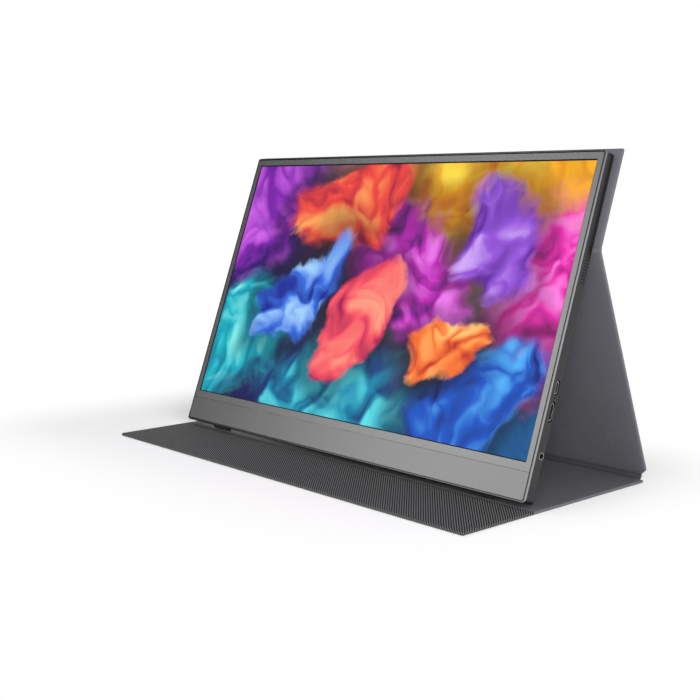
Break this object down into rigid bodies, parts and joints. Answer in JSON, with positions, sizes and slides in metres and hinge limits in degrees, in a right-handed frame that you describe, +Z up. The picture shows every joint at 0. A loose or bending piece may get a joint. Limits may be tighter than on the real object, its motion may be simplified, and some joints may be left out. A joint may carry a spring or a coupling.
{
  "type": "portable monitor with cover",
  "caption": "Slim portable monitor standing in its folding fabric cover, whose hinged leg and upper panel hold the screen tilted back.",
  "frame": {"origin": "on the table, under the middle of the whole object", "axes": "+X along the width, towards the side with the sockets; the screen faces -Y; +Z up"},
  "size_m": [0.365, 0.18, 0.2185],
  "materials": {
    "housing": "satin metallic grey",
    "bezel": "satin grey",
    "chin": "satin grey",
    "gasket_foam": "black foam",
    "screen": "matt screen glass",
    "optical_film": "white film",
    "light_guide": "clear sheet",
    "reflector": "silver film",
    "lamps": "lamps on a strip",
    "pan": "pressed steel",
    "board_green": "solder mask",
    "ribbon": "amber film",
    "chips": "black",
    "shield": "tinned",
    "flat_cable": "white film",
    "insulation": "black film",
    "socket_metal": "nickel plated",
    "jack_plastic": "black",
    "light_pipe": "clear",
    "switches": "steel and black",
    "speaker_box": "black",
    "lead_wire": "insulated wire",
    "screw_steel": "zinc plated",
    "magnet": "nickel plated",
    "foot_rubber": "black",
    "control": "satin grey",
    "cover_cloth": "fine woven coating, dark grey",
    "cover_lining": "soft dark grey lining",
    "stiffener": "fibre board"
  },
  "bodies": {
    "base": {"base_skin": "cover_cloth", "base_board": "stiffener", "base_lining": "cover_lining"},
    "heel": {"heel_skin": "cover_cloth", "heel_lining": "cover_lining"},
    "leg": {"leg_skin": "cover_cloth", "leg_board": "stiffener", "leg_lining": "cover_lining", "fold_strip": "cover_cloth"},
    "upper_panel": {"panel_skin": "cover_cloth", "panel_board": "stiffener", "panel_lining": "cover_lining", "cover_magnets": "magnet"},
    "monitor": {"rear_housing": "housing", "front_bezel": "bezel", "chin_plate": "chin", "bezel_gasket": "gasket_foam", "lcd_glass": "screen", "optical_films": "optical_film", "light_guide": "light_guide", "reflector_sheet": "reflector", "led_strip": "lamps", "panel_frame": "pan", "foam_pads": "gasket_foam", "driver_board": "board_green", "panel_ribbons": "ribbon", "main_board": "board_green", "board_parts": "chips", "shield_can": "shield", "display_cable": "flat_cable", "insulation_sheet": "insulation", "mini_hdmi_port": "socket_metal", "micro_usb_port": "socket_metal", "headphone_jack": "jack_plastic", "status_light": "light_pipe", "side_board": "board_green", "usb_c_port": "socket_metal", "button_switches": "switches", "side_cable": "flat_cable", "speaker_right": "speaker_box", "speaker_left": "speaker_box", "speaker_leads": "lead_wire", "board_screws": "screw_steel", "housing_magnets": "magnet", "rubber_feet": "foot_rubber"},
    "power_button": {"power_button": "control"},
    "menu_rocker": {"menu_rocker": "control"}
  },
  "joints": [
    {"name": "cover_unfold", "type": "hinge", "parent": "base", "child": "heel", "pos_m": [0, 0.08607, 0.00414], "axis": [-1, 0, 0], "range_deg": [0, 90], "deforming": ["heel_skin", "heel_lining"]},
    {"name": "leg_tilt", "type": "hinge", "parent": "heel", "child": "leg", "pos_m": [0, 0.08901, 0.00525], "axis": [1, 0, 0], "range_deg": [-19.5, 11]},
    {"name": "monitor_fold", "type": "hinge", "parent": "leg", "child": "upper_panel", "pos_m": [0, 0.03253, 0.15551], "axis": [1, 0, 0], "range_deg": [-22, 39]},
    {"name": "monitor_release", "type": "slide", "parent": "upper_panel", "child": "monitor", "axis": [0, -0.9421, 0.3355], "range_m": [0, 0.04]},
    {"name": "power_button", "type": "slide", "parent": "monitor", "child": "power_button", "axis": [1, 0, 0], "range_m": [0, 0.0004], "stiffness_N_per_m": 900},
    {"name": "menu_rocker", "type": "hinge", "parent": "monitor", "child": "menu_rocker", "pos_m": [-0.1757, -0.00361, 0.0686], "axis": [0, -0.9421, 0.3355], "range_deg": [-4, 4], "stiffness_Nm_per_rad": 0.3}
  ],
  "couplings": [
    {"joint": "monitor_fold", "follows": "leg_tilt", "ratio": -2}
  ]
}
